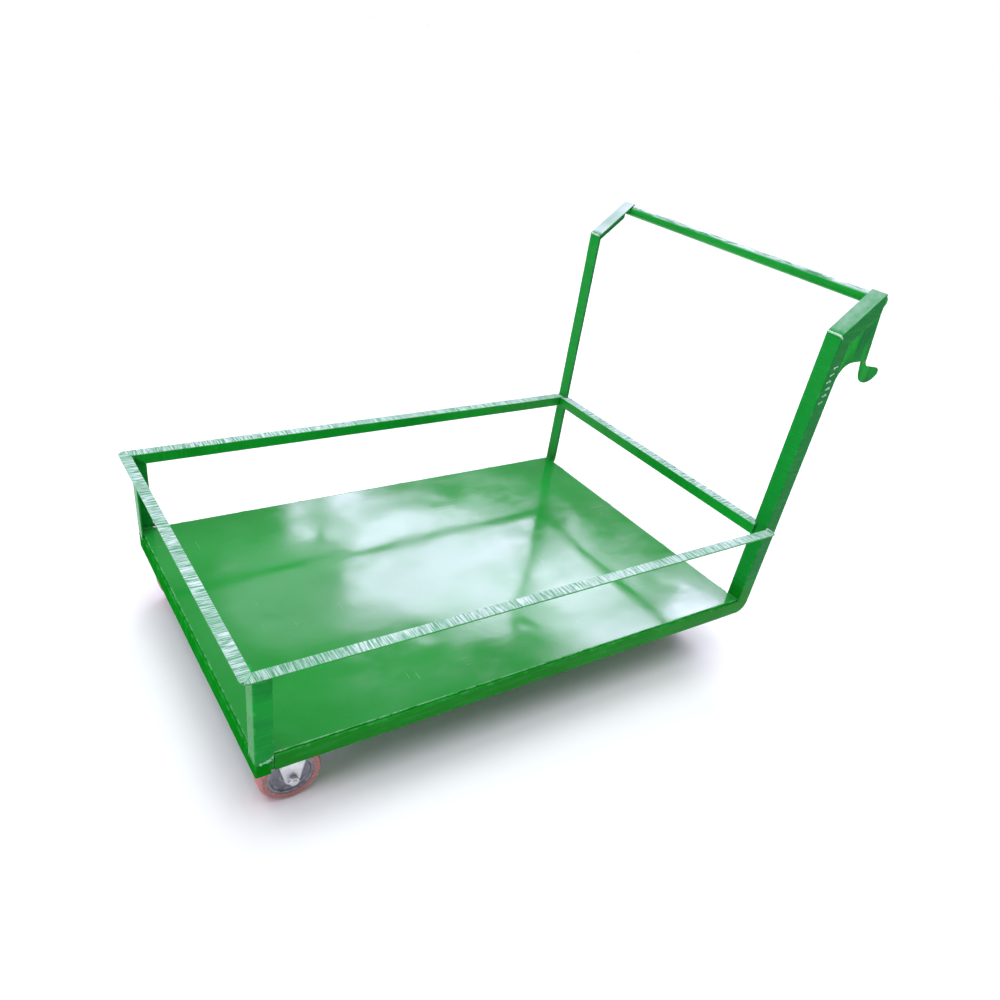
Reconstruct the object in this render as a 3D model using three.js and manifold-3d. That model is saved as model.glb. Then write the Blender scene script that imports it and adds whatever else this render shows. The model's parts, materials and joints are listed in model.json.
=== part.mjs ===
// Steel platform trolley, in millimetres, +Z up.
// The model is laid out from the near front corner of the frame at deck height:
// x runs along the deck towards the handle, y across it, z up from the deck's top face.
// The whole group is then shifted so that the origin is on the floor under the middle.
import * as THREE from 'three';
import { mergeVertices } from 'three/addons/utils/BufferGeometryUtils.js';
import Module from 'manifold-3d';

const wasm = await Module();
wasm.setup();

// ---- Driving dimensions ----
const DECK_LENGTH = 1200;      // frame's front face to the handle posts
const DECK_WIDTH = 790;        // over the frame's side faces
const DECK_HEIGHT = 175;       // floor to the deck's top face
const SHEET = 3;               // deck sheet thickness
const SHEET_INSET = 5;         // sheet edge back from the frame's side faces
const ANGLE = 36;              // legs of the frame's and handle's angle bar
const ANGLE_T = 4;             // thickness of that bar
const FRONT_ANGLE = 42;        // legs of the front bar
const RAIL = 25;               // legs of the guard rail's angle bar
const RAIL_T = 3;
const RAIL_TOP = 204;          // deck to the top of the guard rail
const POST = 34;               // legs of the front corner posts
const POST_FOOT = -12;         // the posts stand on the front bar's returns here
const RETURN_LENGTH = 29;      // how far the front bar's ends turn back along the sides
const SIDE_START = 35.5;       // the side bars begin here, so an open joint is left
const BEND_HEIGHT = 649;       // deck to the bend at the top of the handle posts
const HANDLE_SLOPE = THREE.MathUtils.degToRad(38.5);
const HANDLE_REACH = 124;      // length of the sloping top section
const HANDLE_CUT = 1301;       // rear end of the top section's side flange, at its lower edge
const CORNER_RADIUS = 30;      // lower rear corner of the side bars
const GRIP_RADIUS = 12;        // cross bar
const GAP = 0.3;               // left between pieces that touch

const WHEEL_RADIUS = 62.5;
const TREAD_WIDTH = 40;
const CORE_RADIUS = 46.5;
const CASTER_HEIGHT = 159.4;   // mounting face to floor
const FIXED_AXLE = { x: 80, inset: 56 };
const SWIVEL_PIN = { x: 1092, inset: 150 };
const TRAIL = 40;              // swivel pin to wheel axle
const PLATE = { length: 105, width: 85, thickness: 3.4 };
const LEG_T = 3.5;             // pressed steel of the forks
const LEG_INSIDE = 23.3;       // wheel's middle to the inside of a fork leg
const AXLE_RADIUS = 6;

const SIDES = [
  { name: 'near', y: (inset) => inset },
  { name: 'far', y: (inset) => DECK_WIDTH - inset },
];

// ---- Worked-out levels ----
const Z_SHEET = -SHEET;                       // underside of the sheet
const Z_FLANGE = Z_SHEET - ANGLE_T;           // underside of the level flanges
const Z_FRAME = Z_SHEET - ANGLE;              // lower edge of the frame
const Z_PLATE = CASTER_HEIGHT - DECK_HEIGHT;  // top of the caster plates
const Z_AXLE = WHEEL_RADIUS - DECK_HEIGHT;

// ---- Finishes ----
const finish = (color, roughness, metalness) =>
  new THREE.MeshStandardMaterial({ color, roughness, metalness });
const GREEN = () => finish(0x139a2e, 0.3, 0.0);
const ZINC = () => finish(0xb9bcc0, 0.35, 0.9);
const IRON = () => finish(0x55565c, 0.6, 0.7);
const TYRE = () => finish(0xc0605c, 0.55, 0.0);

// ---- Shape helpers ----
const trolley = new THREE.Group();

function add(name, geometry, material) {
  const mesh = new THREE.Mesh(geometry, material);
  mesh.name = name;
  trolley.add(mesh);
  return mesh;
}

function box(x, y, z) {
  const geometry = new THREE.BoxGeometry(x[1] - x[0], y[1] - y[0], z[1] - z[0]);
  return geometry.translate((x[0] + x[1]) / 2, (y[0] + y[1]) / 2, (z[0] + z[1]) / 2);
}

const outline = (points) => new THREE.Shape(points.map(([a, b]) => new THREE.Vector2(a, b)));

// A plate whose outline is drawn in x and z and which fills y[0] to y[1].
function uprightPlate(shape, y, curveSegments = 8) {
  const geometry = new THREE.ExtrudeGeometry(shape, {
    depth: y[1] - y[0], bevelEnabled: false, curveSegments,
  });
  return geometry.rotateX(Math.PI / 2).translate(0, y[1], 0);
}

// A plate whose outline is drawn in x and y and which fills z[0] to z[1].
function levelPlate(shape, z, curveSegments = 8) {
  const geometry = new THREE.ExtrudeGeometry(shape, {
    depth: z[1] - z[0], bevelEnabled: false, curveSegments,
  });
  return geometry.translate(0, 0, z[0]);
}

// A solid of revolution about an axis along y, from a closed profile of [radius, y] pairs.
function turned(profile, segments) {
  const points = profile.map(([r, y]) => new THREE.Vector2(r, y));
  points.push(points[0].clone());
  const phase = Math.PI;       // a corner of the facets points down, so the radius is true there
  return new THREE.LatheGeometry(points, segments, phase);
}

const hexagon = (acrossFlats) => outline(
  Array.from({ length: 6 }, (_, i) => {
    const angle = (i + 0.5) * Math.PI / 3;
    const radius = acrossFlats / Math.sqrt(3);
    return [radius * Math.cos(angle), radius * Math.sin(angle)];
  }),
);

const disc = (x, y, radius) => new THREE.Shape().absarc(x, y, radius, 0, 2 * Math.PI, false);
const hole = (x, y, radius) => new THREE.Path().absarc(x, y, radius, 0, 2 * Math.PI, false);

function toSolid(geometry) {
  const bare = geometry.clone();
  bare.deleteAttribute('normal');
  bare.deleteAttribute('uv');
  const merged = mergeVertices(bare, 1e-4);
  return new wasm.Manifold(new wasm.Mesh({
    numProp: 3,
    vertProperties: new Float32Array(merged.attributes.position.array),
    triVerts: new Uint32Array(merged.index.array),
  }));
}

function toGeometry(solid) {
  const mesh = solid.getMesh();
  const geometry = new THREE.BufferGeometry();
  geometry.setAttribute('position', new THREE.BufferAttribute(mesh.vertProperties.slice(), 3));
  geometry.setIndex(new THREE.BufferAttribute(mesh.triVerts.slice(), 1));
  geometry.computeVertexNormals();
  return geometry;
}

const join = (...geometries) =>
  toGeometry(geometries.map(toSolid).reduce((sum, solid) => sum.add(solid)));

// The strip of y that a piece on one side fills, given its two insets from that side's face.
function across(side, inset0, inset1) {
  const ends = [side.y(inset0), side.y(inset1)];
  return ends.sort((a, b) => a - b);
}

// ---- Deck ----
const sheetEnd = DECK_LENGTH - 0.5;
add('deck_sheet', box(
  [SHEET_INSET, sheetEnd],
  [SHEET_INSET, DECK_WIDTH - SHEET_INSET],
  [Z_SHEET + GAP, 0],
), GREEN());

// ---- Side bars, each bent up into a handle post and back at the top ----
const along = { x: Math.cos(HANDLE_SLOPE), z: Math.sin(HANDLE_SLOPE) };

// A point on the handle's sloping section: t along it, depth below its upper face.
const onSlope = (t, depth) => [
  DECK_LENGTH + t * along.x + depth * along.z,
  BEND_HEIGHT + t * along.z - depth * along.x,
];
// Where the line at that depth meets the upright line at the same depth.
const bendCorner = (depth) => onSlope(depth * (1 - along.z) / along.x, depth);
const slopeAtX = (x, depth) => onSlope((x - DECK_LENGTH - depth * along.z) / along.x, depth);

function sideFlange() {
  const rear = DECK_LENGTH + ANGLE;
  const shape = new THREE.Shape();
  shape.moveTo(SIDE_START, Z_FRAME);
  shape.lineTo(rear - CORNER_RADIUS, Z_FRAME);
  shape.absarc(rear - CORNER_RADIUS, Z_FRAME + CORNER_RADIUS, CORNER_RADIUS, -Math.PI / 2, 0, false);
  shape.lineTo(...bendCorner(ANGLE));
  shape.lineTo(...slopeAtX(HANDLE_CUT, ANGLE));
  shape.quadraticCurveTo(HANDLE_CUT + 11, BEND_HEIGHT + 59, ...onSlope(HANDLE_REACH, 0));
  shape.lineTo(DECK_LENGTH, BEND_HEIGHT);
  shape.lineTo(DECK_LENGTH, Z_SHEET);
  shape.lineTo(SIDE_START, Z_SHEET);
  return shape;
}

const faceFlange = outline([
  [SIDE_START, Z_SHEET],
  [SIDE_START, Z_FLANGE],
  [DECK_LENGTH + ANGLE_T, Z_FLANGE],
  bendCorner(ANGLE_T),
  onSlope(HANDLE_REACH, ANGLE_T),
  onSlope(HANDLE_REACH, 0),
  [DECK_LENGTH, BEND_HEIGHT],
  [DECK_LENGTH, Z_SHEET],
]);

for (const side of SIDES) {
  add(`side_and_handle_bar_${side.name}`, join(
    uprightPlate(sideFlange(), across(side, 0, ANGLE_T)),
    uprightPlate(faceFlange, across(side, 0, ANGLE)),
  ), GREEN());
}

// ---- Handle: grip pipe, and the plate and hook on the near side ----
const [gripX, gripZ] = onSlope(HANDLE_REACH - 9, ANGLE_T + GRIP_RADIUS + GAP);
const gripLength = DECK_WIDTH - 2 * (ANGLE_T + GAP);
const grip = new THREE.CylinderGeometry(GRIP_RADIUS, GRIP_RADIUS, gripLength, 24);
add('grip_pipe', grip, GREEN()).position.set(gripX, DECK_WIDTH / 2, gripZ);

const gussetRear = HANDLE_CUT + 1;
const gussetFoot = 589;
const postRear = DECK_LENGTH + ANGLE + GAP;
const gussetDepth = ANGLE + GAP;
const gusset = new THREE.Shape();
gusset.moveTo(postRear, bendCorner(gussetDepth)[1]);
gusset.lineTo(postRear, gussetFoot - 31);
gusset.quadraticCurveTo(postRear + 8, gussetFoot, postRear + 38, gussetFoot);
gusset.lineTo(gussetRear + 15, gussetFoot);
gusset.lineTo(...slopeAtX(gussetRear, gussetDepth));
add('handle_gusset', uprightPlate(gusset, [0, ANGLE_T]), GREEN());

const hookTop = gussetFoot - GAP;
const hook = new THREE.Shape();
hook.moveTo(gussetRear, hookTop);
hook.lineTo(gussetRear + 6, hookTop - 18);
hook.quadraticCurveTo(gussetRear + 14, hookTop - 50, gussetRear + 42, hookTop - 50);
hook.quadraticCurveTo(gussetRear + 62, hookTop - 50, gussetRear + 74, hookTop - 34);
hook.quadraticCurveTo(gussetRear + 76, hookTop - 20, gussetRear + 58, hookTop - 18);
hook.lineTo(gussetRear + 30, hookTop - 13);
hook.quadraticCurveTo(gussetRear + 18, hookTop - 11, gussetRear + 15, hookTop);
add('side_hook', uprightPlate(hook, [0, ANGLE_T], 5), GREEN());

// ---- Front bar, with its ends turned back along the sides ----
const frontLow = Z_SHEET - FRONT_ANGLE;
const frontTop = POST_FOOT - GAP;
const betweenPosts = [POST + 2, DECK_WIDTH - POST - 2];
add('front_bar', join(
  box([0, ANGLE_T], [0, DECK_WIDTH], [frontLow, frontTop]),
  box([0, ANGLE_T], betweenPosts, [frontTop - 1, Z_SHEET]),
  box([0, SIDE_START - 0.5], betweenPosts, [Z_FLANGE, Z_SHEET]),
  box([0, RETURN_LENGTH], across(SIDES[0], 0, ANGLE_T), [frontLow, frontTop]),
  box([0, RETURN_LENGTH], across(SIDES[1], 0, ANGLE_T), [frontLow, frontTop]),
), GREEN());

// ---- Rear bar between the handle posts ----
const insideSides = [ANGLE + 0.5, DECK_WIDTH - ANGLE - 0.5];
add('rear_bar', join(
  box([DECK_LENGTH, DECK_LENGTH + ANGLE_T], insideSides, [Z_FRAME, Z_SHEET]),
  box([DECK_LENGTH - ANGLE, DECK_LENGTH + 1], insideSides, [Z_FLANGE, Z_SHEET]),
), GREEN());

// ---- Cross bars under the sheet, coped round the side bars ----
const insideWebs = [ANGLE_T + 0.5, DECK_WIDTH - ANGLE_T - 0.5];
const CROSS_BARS = [141, 422, 703, 984];
CROSS_BARS.forEach((x, i) => {
  add(`cross_bar_${i + 1}`, join(
    box([x, x + ANGLE_T], insideWebs, [Z_FRAME, Z_FLANGE - GAP]),
    box([x, x + ANGLE_T], insideSides, [Z_FLANGE - 1, Z_SHEET]),
    box([x, x + ANGLE], insideSides, [Z_FLANGE, Z_SHEET]),
  ), GREEN());
});

// ---- Front corner posts ----
for (const side of SIDES) {
  const [y0, y1] = [side.y(0), side.y(POST)];
  const inner = side.y(ANGLE_T);
  const top = RAIL_TOP - RAIL_T - GAP;
  add(`front_post_${side.name}`, join(
    levelPlate(outline([[0, y0], [POST, y0], [POST, inner], [0, inner]]), [POST_FOOT, top]),
    levelPlate(outline([[0, y0], [ANGLE_T, y0], [ANGLE_T, y1], [0, y1]]), [POST_FOOT, top]),
  ), GREEN());
}

// ---- Guard rail: mitred angle bars, level flange outwards ----
// The near and front bars lie outside the posts; the far bar lies between the posts' faces.
const railLow = RAIL_TOP - RAIL;
const topLevel = [RAIL_TOP - RAIL_T, RAIL_TOP];
const railHeight = [railLow, RAIL_TOP];
const farInside = DECK_WIDTH - RAIL;
const nearEnd = DECK_LENGTH + 8;

add('guard_rail_near', join(
  levelPlate(outline([
    [-RAIL, -RAIL], [nearEnd, -RAIL], [nearEnd, -GAP], [0, -GAP],
  ]), topLevel),
  box([0, nearEnd], [-RAIL_T, -GAP], railHeight),
), GREEN());

add('guard_rail_front', join(
  levelPlate(outline([
    [-RAIL, -RAIL + GAP * 2], [-GAP, 0], [-GAP, farInside], [-RAIL, DECK_WIDTH - GAP * 2],
  ]), topLevel),
  box([-RAIL_T, -GAP], [0, farInside], railHeight),
), GREEN());

add('guard_rail_far', join(
  levelPlate(outline([
    [-RAIL, DECK_WIDTH], [0, farInside], [DECK_LENGTH - GAP, farInside],
    [DECK_LENGTH - GAP, DECK_WIDTH],
  ]), topLevel),
  box([POST - 7, DECK_LENGTH - GAP], [farInside, farInside + RAIL_T], railHeight),
), GREEN());

// Its level flange fits between the handle posts, and its upright one passes in front of them.
const rearRail = DECK_LENGTH - RAIL / 2;
add('guard_rail_rear', join(
  box([rearRail, rearRail + RAIL], insideSides, topLevel),
  box([rearRail, rearRail + RAIL_T], [RAIL + 1, farInside - 1], railHeight),
), GREEN());

// ---- Caster parts ----
const legTip = 16;

// A fork leg from a wide top edge down to a round tip about the axle, with the axle's hole.
function forkLeg(x0, x1, axleX, top) {
  const shape = new THREE.Shape();
  shape.moveTo(x0, top);
  shape.absarc(axleX, Z_AXLE, legTip, Math.PI * 0.96, Math.PI * 2.04, false);
  shape.lineTo(x1, top);
  shape.holes.push(hole(axleX, Z_AXLE, AXLE_RADIUS + GAP));
  return shape;
}

function forkLegs(x0, x1, axleX, top, middleY) {
  return [-1, 1].map((hand) => {
    const faces = [hand * LEG_INSIDE, hand * (LEG_INSIDE + LEG_T)].sort((a, b) => a - b);
    return uprightPlate(forkLeg(x0, x1, axleX, top), faces.map((y) => y + middleY), 12);
  });
}

function casterPlate(x, y, holeRadius) {
  const [l, w] = [PLATE.length / 2, PLATE.width / 2];
  const shape = outline([[x - l, y - w], [x + l, y - w], [x + l, y + w], [x - l, y + w]]);
  if (holeRadius > 0) shape.holes.push(hole(x, y, holeRadius));
  return levelPlate(shape, [Z_PLATE - PLATE.thickness, Z_PLATE], 12);
}

const hubHalf = 21;
const rimHalf = 18.5;
const webHalf = 12;
const hubRadius = 17;
const bushRadius = 10;

function wheelCore() {
  return turned([
    [bushRadius + GAP, -hubHalf], [hubRadius, -hubHalf], [hubRadius + 2, -webHalf],
    [CORE_RADIUS - 9, -webHalf], [CORE_RADIUS - 6, -rimHalf], [CORE_RADIUS, -rimHalf],
    [CORE_RADIUS, rimHalf], [CORE_RADIUS - 6, rimHalf], [CORE_RADIUS - 9, webHalf],
    [hubRadius + 2, webHalf], [hubRadius, hubHalf], [bushRadius + GAP, hubHalf],
  ], 32);
}

function wheelTyre() {
  const half = TREAD_WIDTH / 2;
  return turned([
    [CORE_RADIUS + GAP, -half + 1], [WHEEL_RADIUS - 5, -half], [WHEEL_RADIUS - 1, -half + 4],
    [WHEEL_RADIUS, -half + 9], [WHEEL_RADIUS, half - 9], [WHEEL_RADIUS - 1, half - 4],
    [WHEEL_RADIUS - 5, half], [CORE_RADIUS + GAP, half - 1],
  ], 40);
}

// The bolt's head is on the inboard side and the nut outboard; hand is +1 where outboard is -y.
function axleSet(tag, x, y, hand) {
  const outside = LEG_INSIDE + LEG_T + GAP;
  const place = (geometry) => geometry.translate(x, y, Z_AXLE);
  const span = (a, b) => [a * hand, b * hand].sort((p, q) => p - q);
  add(`axle_bolt_${tag}`, place(join(
    uprightPlate(hexagon(19), span(outside, outside + 7.5), 1),
    uprightPlate(disc(0, 0, AXLE_RADIUS), span(-outside - 12.5, outside + 1), 10),
  )), ZINC());
  const nut = hexagon(19);
  nut.holes.push(hole(0, 0, AXLE_RADIUS + 0.15));
  add(`axle_nut_${tag}`, place(uprightPlate(nut, span(-outside - 10, -outside), 10)), ZINC());
  const bushLength = LEG_INSIDE - GAP;
  const bush = [
    [AXLE_RADIUS + GAP, -bushLength], [bushRadius, -bushLength],
    [bushRadius, bushLength], [AXLE_RADIUS + GAP, bushLength],
  ];
  add(`axle_bush_${tag}`, place(turned(bush, 24)), ZINC());
}

function wheel(tag, x, y) {
  add(`wheel_core_${tag}`, wheelCore(), IRON()).position.set(x, y, Z_AXLE);
  add(`wheel_tyre_${tag}`, wheelTyre(), TYRE()).position.set(x, y, Z_AXLE);
}

// ---- Fixed casters at the front ----
for (const side of SIDES) {
  const tag = `front_${side.name}`;
  const hand = side.name === 'near' ? 1 : -1;
  const [x, y] = [FIXED_AXLE.x, side.y(FIXED_AXLE.inset)];
  add(`caster_pad_${tag}`, box(
    [ANGLE_T + 0.5, CROSS_BARS[0] - 0.5],
    across(side, ANGLE_T + 0.5, 108),
    [Z_PLATE + GAP, Z_FLANGE - GAP],
  ), GREEN());
  const top = Z_PLATE - PLATE.thickness / 2;
  add(`fixed_fork_${tag}`, join(
    casterPlate(x, y, 0),
    ...forkLegs(x - 38, x + 38, x, top, y),
  ), ZINC());
  axleSet(tag, x, y, hand);
  wheel(tag, x, y);
}

// ---- Swivel casters at the handle end ----
const raceTop = Z_PLATE - PLATE.thickness - GAP;
const raceLow = raceTop - 10.7;
const crownTop = raceLow - GAP;
const crownLow = crownTop - LEG_T;
const pinHead = 7.5;
for (const side of SIDES) {
  const tag = `rear_${side.name}`;
  const hand = side.name === 'near' ? 1 : -1;
  const [x, y] = [SWIVEL_PIN.x, side.y(SWIVEL_PIN.inset)];
  add(`caster_pad_${tag}`, box(
    [CROSS_BARS[3] + ANGLE_T + 0.5, DECK_LENGTH - 0.5],
    across(side, SWIVEL_PIN.inset - 55, SWIVEL_PIN.inset + 55),
    [Z_PLATE + GAP, Z_FLANGE - GAP],
  ), GREEN());
  add(`swivel_plate_${tag}`, casterPlate(x, y, AXLE_RADIUS + GAP), ZINC());

  const race = disc(x, y, 34);
  race.holes.push(hole(x, y, 12));
  add(`swivel_race_${tag}`, levelPlate(race, [raceLow, raceTop], 12), ZINC());

  const reach = LEG_INSIDE + LEG_T;
  const crown = outline([
    [x - 30, y - 14], [x - 20, y - reach], [x + 34, y - reach],
    [x + 34, y + reach], [x - 20, y + reach], [x - 30, y + 14],
  ]);
  crown.holes.push(hole(x, y, AXLE_RADIUS + GAP));
  add(`swivel_fork_${tag}`, join(
    levelPlate(crown, [crownLow, crownTop], 10),
    ...forkLegs(x - 20, x + 34, x + TRAIL, crownTop - 1, y),
  ), ZINC());

  const headTop = crownLow - GAP;
  add(`king_pin_${tag}`, join(
    levelPlate(hexagon(17), [headTop - pinHead, headTop], 1),
    levelPlate(disc(0, 0, AXLE_RADIUS), [headTop - pinHead + 1, Z_PLATE - GAP], 10),
  ).translate(x, y, 0), ZINC());

  axleSet(tag, x + TRAIL, y, hand);
  wheel(tag, x + TRAIL, y);
}

// ---- Origin: on the floor under the middle of the whole trolley ----
trolley.updateMatrixWorld(true);
const bounds = new THREE.Box3().setFromObject(trolley, true);
const middle = bounds.getCenter(new THREE.Vector3());
trolley.position.set(-middle.x, -middle.y, -bounds.min.z);

export default trolley;
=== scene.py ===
"""Looks of a welded steel platform trolley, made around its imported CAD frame.

Lengths in this file are in millimetres, laid out as the trolley is built: x runs along the deck
towards the handle, y across it, z up, from the near front corner of the frame at deck height.
`at` turns such a point into metres in the frame's own axes.
"""
import json
import math
import random

import bmesh
import bpy
from mathutils import Matrix, Vector, noise

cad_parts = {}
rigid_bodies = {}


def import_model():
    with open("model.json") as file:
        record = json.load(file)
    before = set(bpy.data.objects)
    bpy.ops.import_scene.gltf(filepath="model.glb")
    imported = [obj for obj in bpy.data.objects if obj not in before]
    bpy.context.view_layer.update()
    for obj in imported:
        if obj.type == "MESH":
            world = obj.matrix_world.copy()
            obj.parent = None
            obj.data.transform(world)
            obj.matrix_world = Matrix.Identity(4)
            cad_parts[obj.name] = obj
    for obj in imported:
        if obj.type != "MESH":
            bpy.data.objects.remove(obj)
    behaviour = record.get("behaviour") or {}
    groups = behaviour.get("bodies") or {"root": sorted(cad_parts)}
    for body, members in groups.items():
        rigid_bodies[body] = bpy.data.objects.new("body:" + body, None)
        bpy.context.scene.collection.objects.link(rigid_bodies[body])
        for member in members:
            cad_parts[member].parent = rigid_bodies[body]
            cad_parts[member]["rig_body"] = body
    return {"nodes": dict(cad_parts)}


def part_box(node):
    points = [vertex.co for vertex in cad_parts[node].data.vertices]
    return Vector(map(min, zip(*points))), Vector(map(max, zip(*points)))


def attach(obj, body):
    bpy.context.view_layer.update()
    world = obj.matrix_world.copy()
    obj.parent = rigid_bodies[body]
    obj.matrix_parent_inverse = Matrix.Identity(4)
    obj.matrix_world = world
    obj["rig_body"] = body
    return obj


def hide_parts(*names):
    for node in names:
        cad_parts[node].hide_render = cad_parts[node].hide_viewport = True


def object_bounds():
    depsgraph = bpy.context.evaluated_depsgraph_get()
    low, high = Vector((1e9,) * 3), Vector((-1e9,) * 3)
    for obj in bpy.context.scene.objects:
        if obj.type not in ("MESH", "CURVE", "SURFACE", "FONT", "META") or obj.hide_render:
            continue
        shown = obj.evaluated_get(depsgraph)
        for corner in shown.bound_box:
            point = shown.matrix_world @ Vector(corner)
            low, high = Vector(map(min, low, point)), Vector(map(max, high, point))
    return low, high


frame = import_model()
cad_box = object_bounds()

MM = 0.001
corner = Vector((*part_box("front_bar")[0].xy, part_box("deck_sheet")[1].z))


def at(point):
    return corner + Vector(point) * MM


def span(node):
    """A CAD node's lowest and highest corners, in millimetres."""
    return [(c - corner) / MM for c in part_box(node)]


def middle(node):
    low, high = span(node)
    return (low + high) / 2


def new_object(name, data):
    made = bpy.data.objects.new(name, data)
    bpy.context.scene.collection.objects.link(made)
    return made


# ---- Sizes that the CAD frame has ----
WIDTH = span("side_and_handle_bar_far")[1].y
ANGLE, ANGLE_T = 36.0, 4.0
DECK_LENGTH = span("rear_bar")[1].x - ANGLE_T
SHEET, SHEET_INSET = 3.0, 5.0
FRONT_ANGLE = 42.0
FRONT_FLANGE = 35.0
RETURN_LENGTH = 29.0
POST, POST_FOOT = 34.0, span("front_post_near")[0].z
RAIL, RAIL_T = 25.0, 3.0
RAIL_TOP = span("guard_rail_near")[1].z
RAIL_END = span("guard_rail_near")[1].x
SIDE_START = span("side_and_handle_bar_near")[0].x
BEND_HEIGHT = 649.0
SLOPE = math.radians(38.5)
REACH = 124.0
CORNER_RADIUS = 30.0
HANDLE_CUT = 1301.0
GAP = 0.3                                     # between welded pieces
CROSS_BARS = [span(f"cross_bar_{i}")[0].x for i in (1, 2, 3, 4)]
SIDES = {"near": (0.0, 1.0), "far": (WIDTH, -1.0)}  # outer face, and which way inwards is
LEG_INSIDE, LEG_T = 23.3, 3.5                 # of the casters' forks
BOLT_RADIUS = 6.0                             # of axle bolts and king pins
WASHER_T, THIN_WASHER_T = 1.4, 0.9
PLATE_LENGTH, PLATE_WIDTH, PLATE_T = 105.0, 85.0, 3.4
SCREW_X, SCREW_Y = 44.0, 34.5                 # from the middle of a caster plate
FLOOR = span("wheel_tyre_front_near")[0].z
WHEEL_RADIUS = (span("wheel_tyre_front_near")[1].z - FLOOR) / 2
AXLE_Z = FLOOR + WHEEL_RADIUS
END_RUN, BEVEL = 2.5, 0.6                     # a bar's last stretch, and the bevel at its end


# ---- Outlines ----
def rounded(corners, flank=2.5, divide=14.0, steps=3):
    """Turns corners, each (u, v, radius), into an outline of (u, v, wear) with arcs.

    Wear is 1 on the arcs and 0 on the flats, and long flats are divided.
    """
    count = len(corners)
    arcs = []
    for i in range(count):
        p = Vector(corners[i][:2])
        a = (Vector(corners[i - 1][:2]) - p).normalized()
        b = (Vector(corners[(i + 1) % count][:2]) - p).normalized()
        half = a.angle(b) / 2
        radius = corners[i][2]
        centre = p + (a + b).normalized() * radius / math.sin(half)
        first = p + a * radius / math.tan(half) - centre
        last = p + b * radius / math.tan(half) - centre
        turn = first.angle_signed(last)
        arc = [centre + Matrix.Rotation(-turn * k / steps, 2) @ first for k in range(steps + 1)]
        arcs.append(arc)
    outline = []
    for i, arc in enumerate(arcs):
        outline += [(*p, 1.0) for p in arc]
        start, end = arc[-1], arcs[(i + 1) % count][0]
        length = (Vector(corners[(i + 1) % count][:2]) - Vector(corners[i][:2])).length
        if length < 4 * flank:
            continue
        step = (end - start).normalized()
        inner = (end - start).length - 2 * flank
        parts = max(1, round((length - 2 * flank) / divide))
        outline += [(*(start + step * (flank + inner * k / parts)), 0.0) for k in range(parts + 1)]
    return outline


def angle_section(a, b, t, inset=0.0, heel=1.5, root=4.0):
    """A rolled angle bar: heel at (0, 0), one leg along u, the other along v."""
    toe, tip, i = min(2.0, t / 2 - 0.1), 0.8, inset
    less = 0.6 * i
    return rounded([
        (i, i, heel - less), (a - i, i, tip - less), (a - i, t - i, toe - less),
        (t - i, t - i, root + i), (t - i, b - i, toe - less), (i, b - i, tip - less),
    ])


def rectangle(low, high, radius, inset=0.0, divide=14.0):
    """A rectangle in u and v with rounded corners."""
    (u0, v0), (u1, v1), i = low, high, inset
    r = max(radius - i, 0.1)
    return rounded([(u0 + i, v0 + i, r), (u1 - i, v0 + i, r), (u1 - i, v1 - i, r), (u0 + i, v1 - i, r)],
                   divide=divide)


def circle(radius, count):
    turns = [math.tau * k / count for k in range(count)]
    return [(radius * math.cos(turn), radius * math.sin(turn)) for turn in turns]


# ---- Meshes ----
FINISH_WORD = {"green_enamel": "painted", "zinc_plate": "plated", "wheel_iron": "cast",
               "wheel_tread": "moulded"}
noise.seed_set(7)               # otherwise the clock seeds noise_vector


def wobble(p):
    """How far a hand-welded, brush-painted surface strays from true at p."""
    return noise.noise_vector(p * 0.006) * 0.3 + noise.noise_vector(p * 0.03) * 0.07


def about(centre, axis, u, level, v):
    """The point at that level on an axis through centre, then u and v away from it."""
    return Vector(centre) + Vector((u, level, v) if axis == "y" else (u, v, level))


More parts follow.
